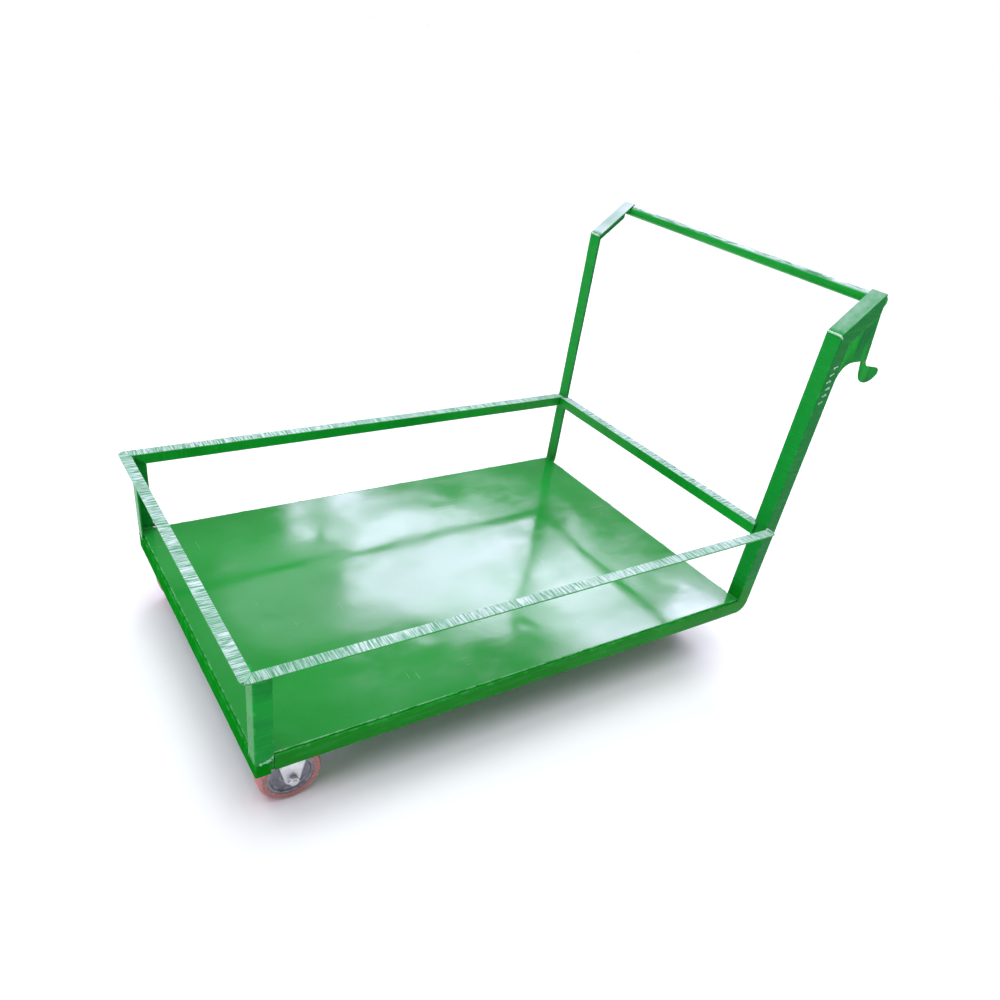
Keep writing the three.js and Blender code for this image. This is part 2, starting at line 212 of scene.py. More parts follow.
class Shell:
    """Collects the points and faces of one piece."""

    def __init__(self):
        self.points, self.wear, self.faces = [], [], []

    def loft(self, rings, caps=True, loop=False):
        """Skins between closed rings of (point, wear), and caps the ends or joins them in a loop."""
        first, size = len(self.points), len(rings[0])
        for ring in rings:
            self.points += [Vector(p) for p, _ in ring]
            self.wear += [w for _, w in ring]
        steps = len(rings) if loop else len(rings) - 1
        for k in range(steps):
            a, b = first + k * size, first + (k + 1) % len(rings) * size
            for i in range(size):
                j = (i + 1) % size
                self.faces.append((a + i, a + j, b + j, b + i))
        if caps and not loop:
            self.faces.append(tuple(range(first + size - 1, first - 1, -1)))
            last = first + (len(rings) - 1) * size
            self.faces.append(tuple(range(last, last + size)))

    def bar(self, section, place, start, end, spacing=45.0, bevel=BEVEL):
        """Sweeps section(inset) through place(s, u, v) with s from start to end.

        Each of those two is a number or a function of (u, v).
        """
        def value(limit, u, v):
            return limit(u, v) if callable(limit) else limit
        plain, inset = section(0.0), section(bevel)
        length = value(end, 0, 0) - value(start, 0, 0)
        parts = max(1, round(abs(length) / spacing))
        rings = []

        def ring(outline, share, offset, wear):
            points = []
            for u, v, edge in outline:
                s0, s1 = value(start, u, v) + END_RUN, value(end, u, v) - END_RUN
                points.append((place(s0 + (s1 - s0) * share + offset, u, v), max(edge, wear)))
            rings.append(points)
        ring(inset, 0, -END_RUN, 1)
        ring(plain, 0, -END_RUN + bevel, 1)
        for k in range(parts + 1):
            ring(plain, k / parts, 0, 0)
        ring(plain, 1, END_RUN - bevel, 1)
        ring(inset, 1, END_RUN, 1)
        self.loft(rings)

    def turned(self, corners, centre, axis="y", segments=64, divide=14.0):
        """Turns a closed outline of (radius, height, edge radius) about an axis through centre."""
        profile = rounded(corners, flank=1.2, divide=divide)
        rings = []
        for c, s in circle(1, segments):
            rings.append([(about(centre, axis, r * c, h, r * s), wear) for r, h, wear in profile])
        self.loft(rings, loop=True)

    def bead(self, points, radius, lumps=0.25, spacing=2.2):
        """A weld bead along a line of points: a rippled tube, half sunk in the steel."""
        path = []
        for a, b in zip(points, points[1:]):
            a, b = Vector(a), Vector(b)
            steps = max(2, round((b - a).length / spacing))
            path += [a.lerp(b, k / steps) for k in range(steps)]
        path.append(Vector(points[-1]))
        rings = []
        for k, p in enumerate(path):
            ahead = (path[min(k + 1, len(path) - 1)] - path[max(k - 1, 0)]).normalized()
            side = ahead.orthogonal().normalized()
            other = ahead.cross(side)
            swell = 1 + lumps * noise.noise(p * 0.35) + 0.12 * math.sin(k * 1.9)
            taper = 0.35 if k in (0, len(path) - 1) else 1.0
            size = radius * swell * taper
            rings.append([(p + (side * c + other * s) * size, 1.0) for c, s in circle(1, 8)])
        self.loft(rings)

    def piece(self, name, material, slot, body=None, nodes=(), shake=1.0):
        """Makes the object, rides it on its body and lets it stand for its CAD nodes."""
        mesh = bpy.data.meshes.new(name)
        low, high = Vector(cad_box[0]), Vector(cad_box[1])
        placed = []
        for p in self.points:
            q = at(p + wobble(p) * shake)
            placed.append([min(max(q[i], low[i]), high[i]) for i in range(3)])
        mesh.from_pydata(placed, [], self.faces)
        mesh.attributes.new("wear", "FLOAT", "POINT").data.foreach_set("value", self.wear)
        work = bmesh.new()
        work.from_mesh(mesh)
        bmesh.ops.remove_doubles(work, verts=work.verts, dist=1e-6)
        bmesh.ops.recalc_face_normals(work, faces=work.faces)
        for face in work.faces:
            face.smooth = len(face.verts) == 4
        work.to_mesh(mesh)
        work.free()
        mesh.materials.append(material)
        made = new_object(name, mesh)
        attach(made, body or frame["nodes"][nodes[0]]["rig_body"])
        if nodes:
            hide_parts(*nodes)

    def shows(self, node, material, slot="green_enamel", shake=1.0):
        """Makes the piece that stands for one CAD node."""
        self.piece(f"{node}_{FINISH_WORD[slot]}", material, slot, nodes=[node], shake=shake)


# ---- Materials ----
ABOVE_DECK = (0.18, 0.26)       # metres, where the painted lighter shade of the raised parts fades in


class Nodes:
    """Short ways to add nodes to a tree."""

    def __init__(self, tree):
        self.tree = tree

    def add(self, kind, inputs=None, **settings):
        node = self.tree.nodes.new(kind)
        for name, value in settings.items():
            setattr(node, name, value)
        for key, value in (inputs or {}).items():
            self.feed(node.inputs[key], value)
        return node

    def feed(self, socket, value):
        if isinstance(value, bpy.types.NodeSocket):
            self.tree.links.new(value, socket)
        else:
            socket.default_value = (*value, 1) if socket.type == "RGBA" else value

    def band(self, value, low, high, to=(0.0, 1.0)):
        """Takes value from low..high to the range given, smoothly."""
        return self.add("ShaderNodeMapRange", {
            "Value": value, "From Min": low, "From Max": high, "To Min": to[0], "To Max": to[1],
        }, interpolation_type="SMOOTHSTEP").outputs["Result"]

    def times(self, a, b, operation="MULTIPLY"):
        return self.add("ShaderNodeMath", {0: a, 1: b}, operation=operation).outputs[0]

    def along(self, vector, axis):
        """One coordinate of a vector."""
        return self.add("ShaderNodeSeparateXYZ", {0: vector}).outputs[axis]


class Finish(Nodes):
    """A material. Its coordinates are metres in the frame's own axes."""

    def __init__(self, name):
        self.material = bpy.data.materials.new(name)
        self.material.use_nodes = True
        super().__init__(self.material.node_tree)
        self.shader = self.tree.nodes["Principled BSDF"]
        coordinates = self.add("ShaderNodeTexCoord")
        self.place, self.facing = coordinates.outputs["Object"], coordinates.outputs["Normal"]

    def noise(self, cycles, detail=3.0, roughness=0.55, distortion=0.0):
        """Noise of so many cycles per metre, one number or one each along x, y and z."""
        each = cycles if isinstance(cycles, (tuple, list)) else [cycles] * 3
        place = self.add("ShaderNodeVectorMath", {0: self.place, 1: each}, operation="MULTIPLY").outputs[0]
        return self.add("ShaderNodeTexNoise", {
            "Vector": place, "Scale": 1.0, "Detail": detail, "Roughness": roughness, "Distortion": distortion,
        }).outputs[0]

    def mix(self, share, a, b):
        return self.add("ShaderNodeMix", {0: share, 6: a, 7: b}, data_type="RGBA").outputs[2]

    def tint(self, colour, share, mask, paint):
        """Lays a share of paint over colour where the mask is 1."""
        return self.mix(self.times(mask, share), colour, paint)

    def bump(self, height, distance, before=None):
        inputs = {"Height": height, "Distance": distance}
        if before is not None:
            inputs["Normal"] = before
        return self.add("ShaderNodeBump", inputs).outputs["Normal"]

    def worn(self, cycles, low, high):
        """1 in patches along the worn edges."""
        wear = self.add("ShaderNodeAttribute", attribute_name="wear").outputs["Fac"]
        return self.times(wear, self.band(self.noise(cycles, 3), low, high))

    def upward(self):
        """1 where the surface faces up, fading to 0 on its sides."""
        return self.band(self.along(self.facing, "Z"), 0.45, 0.85)

    def sideways(self, low, high):
        """1 where the surface faces either side of the trolley, fading to 0."""
        return self.band(self.times(self.along(self.facing, "Y"), 0.0, "ABSOLUTE"), low, high)

    def done(self, colour, roughness, normal, metallic=0.0, **sockets):
        self.feed(self.shader.inputs["Base Color"], colour)
        self.feed(self.shader.inputs["Roughness"], roughness)
        self.feed(self.shader.inputs["Normal"], normal)
        self.feed(self.shader.inputs["Metallic"], metallic)
        for name, value in sockets.items():
            self.feed(self.shader.inputs[name.replace("_", " ")], value)
        return self.material


def enamel(name, base, deep, strokes, painted_sheen=0.0, stroke_depth=0.00018, gloss=0.16, upper=None, shine=0.1,
           patches=3.5, mottled=False, flank=None):
    """Brushed green enamel. strokes holds the cycles per metre along x, y and z: high across them.

    upper is a painted lighter shade for the parts that stand above the deck, and flank a painted darker
    shade for their faces turned to either side, where they differ. patches holds the cycles per metre of
    the change between base and deep. chalk is a painted highlight on top: how pale the upward faces are
    painted, in brush strokes, or mottled from 0.5 up, standing for the reflection of the bright room.
    """
    f = Finish(name)
    cloud = f.noise(patches, 4)
    stroke = f.noise(strokes, 3, 0.6)
    fine = f.noise([s * 2.7 for s in strokes], 2, 0.7)
    grain = f.noise(420, 2)
    colour = f.mix(f.band(cloud, 0.35, 0.7), deep, base)
    # painted light: parts above the deck get a painted lighter shade, and their faces turned to either side a
    # painted darker one
    raised = f.band(f.along(f.place, "Z"), *ABOVE_DECK)
    if upper:
        colour = f.mix(raised, colour, upper)
    if flank:
        colour = f.mix(f.times(f.sideways(0.6, 0.9), raised), colour, flank)
    colour = f.tint(colour, 0.25, f.band(stroke, 0.45, 0.75), (0.03, 0.42, 0.07))
    specks = f.band(f.noise(700, 1), 0.74, 0.80)
    sparse = f.band(f.noise(14, 2), 0.52, 0.68)
    colour = f.tint(colour, 0.6, f.times(specks, sparse), (0.45, 0.75, 0.52))
    # lighter edges: partly worn paint, partly a painted highlight along the rounded edges
    worn = f.worn(55, 0.46, 0.70)
    colour = f.tint(colour, 0.22, worn, (0.12, 0.46, 0.18))
    # painted highlight: upward faces above the deck are painted greyer, then pale in streaks or mottling,
    # standing for the reflection of the bright room
    if painted_sheen > 0:
        marks = f.band(fine, 0.40, 0.60)
        if mottled:
            marks = f.band(f.noise(30, 7, 0.8), 0.2, 0.8, (2 * painted_sheen - 1, 1.0))
        streak = f.times(marks, f.band(f.noise(9, 2), 0.25, 0.6, (0.45, 1.0)))
        sheen_mask = f.times(f.times(f.upward(), raised), painted_sheen)
        colour = f.tint(colour, 0.75, sheen_mask, (0.10, 0.27, 0.19))
        colour = f.mix(f.times(sheen_mask, streak), colour, (0.68, 0.78, 0.80))
    rough = f.times(f.band(cloud, 0.3, 0.7, (gloss, gloss + 0.12)), f.times(worn, 0.2), "ADD")
    normal = f.bump(stroke, stroke_depth * 2.0)
    normal = f.bump(fine, stroke_depth, normal)
    normal = f.bump(grain, 0.00004, normal)
    return f.done(colour, rough, normal, IOR=1.52, Specular_IOR_Level=shine)


def deck_enamel():
    """The deck's paint, laid on wet: smooth, a little rippled, with scuffs and fine scratches."""
    f = Finish("deck_enamel")
    cloud = f.noise((2.2, 3.0, 1.0), 4)
    swirl = f.noise((9, 14, 1), 3, 0.5, 0.3)
    colour = f.mix(f.band(cloud, 0.3, 0.7), (0.007, 0.222, 0.024), (0.016, 0.265, 0.038))
    colour = f.tint(colour, 0.25, f.band(swirl, 0.5, 0.75), (0.024, 0.295, 0.052))
    grain = f.noise(520, 2, 0.7)
    colour = f.tint(colour, 0.3, f.band(grain, 0.55, 0.8), (0.06, 0.34, 0.10))
    long_marks = f.band(f.noise((7, 900, 5), 2), 0.70, 0.76)
    cross_marks = f.band(f.noise((640, 9, 5), 2), 0.72, 0.78)
    where = f.band(f.noise(5, 2), 0.52, 0.66)
    scratches = f.times(f.times(long_marks, cross_marks, "MAXIMUM"), where)
    colour = f.tint(colour, 0.5, scratches, (0.40, 0.70, 0.48))
    specks = f.times(f.band(f.noise(520, 1), 0.75, 0.80), f.band(cloud, 0.4, 0.7))
    colour = f.tint(colour, 0.6, specks, (0.60, 0.82, 0.66))
    # paler sheet edges: partly worn paint, partly a painted highlight along the edges
    worn = f.worn(60, 0.42, 0.62)
    colour = f.tint(colour, 0.4, worn, (0.30, 0.62, 0.38))
    haze = f.band(f.noise((6, 9, 1), 4, 0.6), 0.3, 0.75, (0.09, 0.20))
    rough = f.times(haze, f.times(scratches, 0.25), "ADD")
    normal = f.bump(swirl, 0.00015)
    normal = f.bump(f.noise((50, 60, 10), 2, 0.5), 0.00004, normal)
    normal = f.bump(grain, 0.00002, normal)
    return f.done(colour, rough, normal, IOR=1.55)


def zinc(name, brush):
    """Bright zinc plate, faintly brushed, dulled in clouds and stained at its edges."""
    f = Finish(name)
    cloud = f.noise(26, 4, 0.6)
    lines = f.noise(brush, 2, 0.6)
    colour = f.mix(f.band(cloud, 0.35, 0.7), (0.66, 0.66, 0.69), (0.86, 0.86, 0.88))
    stain = f.worn(120, 0.5, 0.7)
    colour = f.tint(colour, 0.6, stain, (0.30, 0.27, 0.25))
    rough = f.times(f.band(cloud, 0.3, 0.75, (0.32, 0.50)), f.times(stain, 0.25), "ADD")
    normal = f.bump(lines, 0.00006)
    normal = f.bump(f.noise(300, 2), 0.00004, normal)
    return f.done(colour, rough, normal, metallic=1.0)


def iron():
    """The wheels' cast core: dark grey, sand-cast skin, brighter where it was turned or rubbed."""
    f = Finish("wheel_iron")
    cloud = f.noise(40, 4, 0.6)
    colour = f.mix(f.band(cloud, 0.35, 0.7), (0.15, 0.15, 0.175), (0.28, 0.28, 0.32))
    rubbed = f.worn(90, 0.35, 0.6)
    colour = f.tint(colour, 0.8, rubbed, (0.40, 0.40, 0.43))
    rust = f.band(f.noise(75, 4, 0.7), 0.62, 0.76)
    colour = f.tint(colour, 0.3, rust, (0.16, 0.10, 0.075))
    rough = f.band(cloud, 0.3, 0.75, (0.32, 0.52))
    normal = f.bump(f.noise(420, 3, 0.6), 0.00006)
    return f.done(colour, rough, normal, metallic=0.6)


def tread():
    """Red polyurethane: satin, paler where it is scuffed, with dirt ground into its side walls."""
    f = Finish("wheel_tread")
    cloud = f.noise(30, 4, 0.6)
    colour = f.mix(f.band(cloud, 0.3, 0.7), (0.46, 0.145, 0.130), (0.58, 0.205, 0.185))
    grime = f.times(f.sideways(0.35, 0.85), f.band(f.noise((70, 160, 70), 4, 0.65), 0.30, 0.65, (0.35, 1.0)))
    colour = f.tint(colour, 0.65, grime, (0.26, 0.16, 0.145))
    scuff = f.worn(150, 0.45, 0.65)
    colour = f.tint(colour, 0.5, scuff, (0.78, 0.42, 0.38))
    rough = f.band(cloud, 0.3, 0.75, (0.34, 0.55))
    normal = f.bump(f.noise(330, 3, 0.6), 0.00008)
    return f.done(colour, rough, normal, Subsurface_Weight=0.12, Subsurface_Scale=0.004)


def bare_weld():
    """Weld and steel that the brush missed: burnt brown with green at its rim."""
    f = Finish("bare_weld")
    cloud = f.noise(220, 4, 0.65)
    colour = f.mix(f.band(cloud, 0.40, 0.62), (0.20, 0.095, 0.07), (0.05, 0.27, 0.09))
    rough = f.band(cloud, 0.3, 0.7, (0.35, 0.7))
    return f.done(colour, rough, f.bump(cloud, 0.0004), metallic=0.2)


FRAME_GREEN = ((0.003, 0.235, 0.010), (0.002, 0.190, 0.006))
RAIL_GREEN = ((0.006, 0.38, 0.030), (0.004, 0.29, 0.020))
# painted light on the side bars: a lighter shade above the deck, a darker one on their sideways faces, and
# pale painted highlight on the slopes' tops
side_paint = {
    side: enamel(f"enamel_{side}_side_bar", *FRAME_GREEN, (14, 14, 150), painted_sheen=painted_sheen, shine=0.05,
                 upper=(0.008, 0.31, 0.034), flank=(0.001, 0.195, 0.030), mottled=True)
    for side, painted_sheen in (("near", 0.5), ("far", 1.0))}
front_paint = enamel("enamel_front_bar", *FRAME_GREEN, (14, 60, 14), shine=0.0)
post_paint = enamel("enamel_posts", (0.010, 0.36, 0.040), (0.006, 0.25, 0.035), (12, 12, 170),
                    patches=(9, 9, 22), shine=0.04)
# painted light: the handle plate's bright and dark vertical bands are painted reflection and shade
plate_paint = enamel("enamel_handle_plate", (0.006, 0.44, 0.025), (0.008, 0.13, 0.040), (30, 30, 5),
                     patches=(26, 26, 7), shine=0.02)
# the pale tops of the rails and the grip are a painted highlight
rail_x_paint = enamel("enamel_rails_along", *RAIL_GREEN, (190, 10, 10), painted_sheen=0.9, stroke_depth=0.0004)
rail_y_paint = enamel("enamel_rails_across", *RAIL_GREEN, (10, 190, 10), painted_sheen=0.9, stroke_depth=0.0004)
grip_paint = enamel("enamel_grip", (0.008, 0.38, 0.035), (0.005, 0.29, 0.025), (70, 6, 70), painted_sheen=0.95)
weld_paint = enamel("enamel_welds", (0.02, 0.34, 0.05), (0.008, 0.24, 0.02), (80, 80, 80), gloss=0.12,
                    shine=0.3)
# painted highlight: the pale welds' near-white colour stands for light glinting on the beads
weld_highlight_paint = enamel("enamel_painted_weld_highlights", (0.52, 0.74, 0.60), (0.18, 0.48, 0.28), (90, 90, 90),
                         gloss=0.12, shine=0.5)
deck_paint = deck_enamel()
plate_zinc = zinc("zinc_plates", (60, 700, 60))
fork_zinc = zinc("zinc_forks", (500, 60, 60))
bolt_zinc = zinc("zinc_bolts", 300)
core_iron = iron()
tyre_red = tread()
weld_bare = bare_weld()


# ---- Deck sheet ----
random.seed(7)
DENTS = [(random.uniform(120, 1100), random.uniform(90, 700), random.uniform(14, 34),
          random.uniform(-0.8, 0.6)) for _ in range(14)]


def deck_wave(x, y):
    """How far the sheet stands above or below true: slack between the cross bars, and dents."""
    rim = min(x - SHEET_INSET, DECK_LENGTH - x, y - SHEET_INSET, WIDTH - SHEET_INSET - y)
    free = max(0.0, min(1.0, (rim - 36) / 90))
    p = Vector((x, y, 0))
    height = 1.5 * noise.noise(p * 0.0042) + 0.3 * noise.noise(p * 0.010)
    for dx, dy, radius, depth in DENTS:
        height += depth * math.exp(-((x - dx) ** 2 + (y - dy) ** 2) / radius ** 2)
    return height * free * free * (3 - 2 * free)


def make_deck():
    low, high = span("deck_sheet")
    shell = Shell()

    def section(inset):
        return rectangle((low.y, low.z), (high.y, high.z), 0.7, inset, divide=10.0)
    shell.bar(section, lambda s, u, v: (s, u, v + deck_wave(s, u)), low.x, high.x, 10.0, 0.5)
    shell.shows("deck_sheet", deck_paint, shake=0.3)


# ---- Side bars with the handle posts ----
def on_slope(t, depth):
    """The x and z of a point t up the handle's slope and depth below its upper face."""
    return (DECK_LENGTH + t * math.cos(SLOPE) + depth * math.sin(SLOPE),
            BEND_HEIGHT + t * math.sin(SLOPE) - depth * math.cos(SLOPE))


def mitre(depth):
    """Where the line at that depth turns at the handle's bend, as a length up the slope."""
    return depth * (1 - math.sin(SLOPE)) / math.cos(SLOPE)


def slope_end(depth):
    """The curved cut at the top end of the bar: longest at the upper face."""
    share = min(1.0, depth / ANGLE)
    short = (HANDLE_CUT - DECK_LENGTH - ANGLE * math.sin(SLOPE)) / math.cos(SLOPE)
    bulge = 10 * share * (1 - share)
    return REACH + (short - REACH) * share + bulge


def corner_scale(angle):
    """How much further out the bar's edge lies at this angle round the lower rear corner."""
    offset = ANGLE - CORNER_RADIUS
    away = offset * (math.sin(angle) + math.cos(angle))
    reach = away + math.sqrt(max(0.0, away ** 2 - 2 * offset ** 2 + CORNER_RADIUS ** 2))
    straight = ANGLE / max(math.sin(angle), math.cos(angle))
    return min(reach, straight) / ANGLE


def make_side_bar(side):
    face, inwards = SIDES[side]
    top = -SHEET
    plain = angle_section(ANGLE, ANGLE, ANGLE_T, root=5.0)
    inset = angle_section(ANGLE, ANGLE, ANGLE_T, BEVEL, root=5.0)
    rings = []

    def ring(outline, point, wear=0.0):
        points = []
        for u, v, edge in outline:
            x, z = point(v)
            points.append(((x, face + inwards * u, z), max(edge, wear)))
        rings.append(points)

    def run(x):
        return lambda v: (x, top - v)

    def fan(angle):
        scale = corner_scale(angle)
        return lambda v: (DECK_LENGTH + v * scale * math.sin(angle), top - v * scale * math.cos(angle))

    def post(share):
        return lambda v: (DECK_LENGTH + v, top + 2 + (on_slope(mitre(v), v)[1] - top - 2) * share)

    def slope(share, back=0.0):
        return lambda v: on_slope(mitre(v) + (slope_end(v) - mitre(v)) * share - back, v)
    run_steps, fan_steps, post_steps, slope_steps = 28, 12, 20, 9
    ring(inset, run(SIDE_START), 1)
    ring(plain, run(SIDE_START + BEVEL), 1)
    for k in range(run_steps):
        ring(plain, run(SIDE_START + END_RUN + (DECK_LENGTH - SIDE_START - END_RUN) * k / run_steps))
    for k in range(fan_steps + 1):
        ring(plain, fan(math.pi / 2 / fan_steps * k))
    for k in range(post_steps + 1):
        ring(plain, post(k / post_steps))
    for k in range(1, slope_steps):
        ring(plain, slope(k / slope_steps))
    ring(plain, slope(1, END_RUN))
    ring(plain, slope(1, BEVEL), 1)
    ring(inset, slope(1), 1)
    shell = Shell()
    shell.loft(rings)
    shell.shows(f"side_and_handle_bar_{side}", side_paint[side])


# ---- Straight angle bars ----
def angle_bar(node, paint, a, b, place, start, end, spacing=45.0, t=ANGLE_T, **radii):
    """Makes the piece of one straight angle bar with legs a and b."""
    shell = Shell()
    shell.bar(lambda i: angle_section(a, b, t, i, **radii), place, start, end, spacing)
    shell.shows(node, paint)


def make_front_bar():
    shell = Shell()
    shell.bar(lambda i: angle_section(FRONT_FLANGE, FRONT_ANGLE, ANGLE_T, i),
              lambda s, u, v: (u, s, -SHEET - v), POST + 2, WIDTH - POST - 2)
    low = -SHEET - FRONT_ANGLE
    for face, inwards in SIDES.values():
        shell.bar(lambda i: angle_section(RETURN_LENGTH, POST + 1.9, ANGLE_T, i, heel=3.0),
                  lambda s, u, v: (u, face + inwards * v, s), low, POST_FOOT - GAP, 12.0)
    shell.shows("front_bar", front_paint)


def make_under_bars():
    def coped(inner, outer):
        """The end of a bar whose level flange stops at the side bar's."""
        return lambda u, v: inner if v < ANGLE_T + 5.2 else outer
    for i, x in enumerate(CROSS_BARS, 1):
        angle_bar(f"cross_bar_{i}", front_paint, ANGLE, ANGLE, lambda s, u, v: (x + u, s, -SHEET - v),
                  coped(ANGLE + 0.5, ANGLE_T + 0.5), coped(WIDTH - ANGLE - 0.5, WIDTH - ANGLE_T - 0.5))
    angle_bar("rear_bar", front_paint, ANGLE + ANGLE_T, ANGLE,
              lambda s, u, v: (DECK_LENGTH + ANGLE_T - u, s, -SHEET - v), ANGLE + 0.5, WIDTH - ANGLE - 0.5)


def make_posts():
    for side, (face, inwards) in SIDES.items():
        top = span(f"front_post_{side}")[1].z
        angle_bar(f"front_post_{side}", post_paint, POST, POST, lambda s, u, v: (u, face + inwards * v, s),
                  POST_FOOT, top, 20.0, heel=2.2)


def make_rails():
    far_line = WIDTH - RAIL
    root = 7.0                          # how far the angle's corner reaches along its legs

    def rail(side, leg, place, start, end, paint):
        angle_bar(f"guard_rail_{side}", paint, leg, RAIL, place, start, end, 30.0, RAIL_T, heel=1.6, root=3.0)

    def outer_corner(u, radius=15.0):
        """How far the mitre runs past the inner corner at u, with its outer corner ground round."""
        past = max(0.0, u - RAIL + radius)
        return min(u, RAIL - radius + math.sqrt(max(0.0, radius ** 2 - past ** 2)))
    rail("near", RAIL - GAP, lambda s, u, v: (s, -GAP - u, RAIL_TOP - v),
         lambda u, v: -outer_corner(u), lambda u, v: RAIL_END - max(0.0, u - 15) ** 2 / 11, rail_x_paint)
    rail("front", RAIL - GAP, lambda s, u, v: (-GAP - u, s, RAIL_TOP - v),
         lambda u, v: -outer_corner(u) + GAP, lambda u, v: far_line + outer_corner(u) - GAP, rail_y_paint)
    rail("far", RAIL, lambda s, u, v: (s, far_line + u, RAIL_TOP - v),
         lambda u, v: POST - 7 if v > root else -outer_corner(u), DECK_LENGTH - GAP, rail_x_paint)
    rear_low, rear_high = span("guard_rail_rear")
    shorter = ANGLE + 0.5 - rear_low.y
    rail("rear", RAIL, lambda s, u, v: (rear_low.x + u, s, RAIL_TOP - v),
         lambda u, v: rear_low.y + (shorter if u > root else 0),
         lambda u, v: rear_high.y - (shorter if u > root else 0), rail_y_paint)


# ---- Grip, gusset and hook ----
def make_grip():
    low, high = span("grip_pipe")
    x, _, z = middle("grip_pipe")
    radius = (high.x - low.x) / 2
    shell = Shell()
    rings = []
    for k in range(61):
        y = low.y + (high.y - low.y) * k / 60
        rings.append([((x + u, y, z + v), 0.0) for u, v in circle(radius, 40)])
    shell.loft(rings)
    shell.shows("grip_pipe", grip_paint, shake=0.6)


def drawn(start, *parts, steps=8):
    """An outline of straight lines to points and quadratic curves to (control, end) pairs."""
    outline = [start]
    for part in parts:
        if isinstance(part[0], tuple):
            a, b, c = Vector(outline[-1]), Vector(part[0]), Vector(part[1])
            shares = [k / steps for k in range(1, steps + 1)]
            outline += [tuple(a * (1 - t) ** 2 + b * 2 * t * (1 - t) + c * t * t) for t in shares]
        else:
            outline.append(part)
    return outline


def flat_plate(outline, thickness=ANGLE_T, bevel=0.7):
    """A plate with an outline in x and z and rounded edges, its outer face at y 0."""
    work = bmesh.new()
    base = [work.verts.new((x, 0, z)) for x, z in outline]
    face = work.faces.new(base)
    raised = bmesh.ops.extrude_face_region(work, geom=[face])["geom"]
    top = [v for v in raised if isinstance(v, bmesh.types.BMVert)]
    bmesh.ops.translate(work, verts=top, vec=(0, thickness, 0))
    rims = [e for e in work.edges if abs(e.verts[0].co.y - e.verts[1].co.y) < 1e-6]
    bmesh.ops.bevel(work, geom=rims, offset=bevel, segments=3, profile=0.5, affect="EDGES")

    def flats():
        return [f for f in work.faces if abs(f.normal.y) > 0.999 and len(f.verts) > 4]
    for flat in flats():
        bmesh.ops.inset_region(work, faces=[flat], thickness=2.0, use_even_offset=True)
    work.verts.ensure_lookup_table()
    inner = {v.index for flat in flats() for v in flat.verts}
    shell = Shell()
    shell.points = [v.co.copy() for v in work.verts]
    shell.wear = [0.0 if v.index in inner else 1.0 for v in work.verts]
    shell.faces = [tuple(v.index for v in f.verts) for f in work.faces]
    work.free()
    return shell


def make_gusset_and_hook():
    gusset_low = span("handle_gusset")[0]
    front, foot = gusset_low.x, gusset_low.z
    rear = HANDLE_CUT + 1
    level = foot + 31
    depth = ANGLE + GAP
    slope_top = on_slope((rear - DECK_LENGTH - depth * math.sin(SLOPE)) / math.cos(SLOPE), depth)
    gusset = drawn((front, on_slope(mitre(depth), depth)[1]), (front, foot),
                   ((front + 8, level), (front + 38, level)), (rear + 15, level), slope_top)
    flat_plate(gusset).shows("handle_gusset", plate_paint)
    top = span("side_hook")[1].z
    hook = drawn((0, 0), (6, -18), ((14, -50), (42, -50)), ((62, -50), (74, -34)), ((76, -20), (58, -18)),
                 (30, -13), ((18, -11), (15, 0)))
    flat_plate([(rear + x, top + z) for x, z in hook]).shows("side_hook", plate_paint)


# ---- Welds ----
def weld_frame(feet, pale, handle, under, fill):
    """Post feet, deck edges, handle bends and cross bars."""
    rear, bend = DECK_LENGTH, BEND_HEIGHT
    for face, inwards in SIDES.values():
        def y(inset):
            return face + inwards * inset
        feet.bead([(8, y(0.8), POST_FOOT), (1.5, y(0.8), POST_FOOT), (0.8, y(2), POST_FOOT),
                   (0.8, y(33), POST_FOOT)], 1.6, 0.5)
        pale.bead([(7, y(0.9), POST_FOOT - 0.5), (20, y(0.6), POST_FOOT + 0.5), (29, y(1), POST_FOOT + 4),
                   (POST, y(2), -1)], 2.8, 0.9, 3.0)
        feet.bead([(POST - 1, y(ANGLE_T + 0.5), 0.3), (ANGLE_T + 1, y(ANGLE_T + 0.5), 0.3),
                   (ANGLE_T + 0.5, y(POST - 1), 0.3)], 2.2, 0.5)
        for x in range(90, int(rear), 148):
            feet.bead([(x, y(5.2), -1.4), (x + 24, y(5.2), -1.4)], 1.5, 0.7)
        pale.bead([(rear + 6, y(1.0), bend - 7), (rear + 1.2, y(1.4), bend - 2),
                   (rear + 0.6, y(5), bend - 0.6), (rear + 0.6, y(ANGLE - 1), bend - 0.6)], 2.3, 0.4)
        handle.bead([(rear + 0.5, y(ANGLE - 2), 0.6), (rear + 0.5, y(2), 0.6)], 1.6, 0.4)
        fill.bead([(SIDE_START - 3, y(5.2), -5), (SIDE_START - 3, y(5.2), -38)], 4.3, 0.15)
        for x in CROSS_BARS:
            under.bead([(x + 5, y(ANGLE_T + 1), -10), (x + 5, y(ANGLE_T + 1), -37)], 2.2, 0.4)
            under.bead([(x + 2, y(ANGLE + 0.2), -7), (x + ANGLE - 2, y(ANGLE + 0.2), -7)], 2.0, 0.4)
        under.bead([(rear - 34, y(ANGLE + 0.2), -7), (rear - 4, y(ANGLE + 0.2), -7)], 2.0)
    for y0, y1 in ((40, 64), (250, 274), (480, 504), (700, 724)):
        feet.bead([(5.2, y0, -1.4), (5.2, y1, -1.4)], 1.5, 0.7)
        feet.bead([(rear - 0.5, y0, -1.2), (rear - 0.5, y1, -1.2)], 1.5, 0.7)


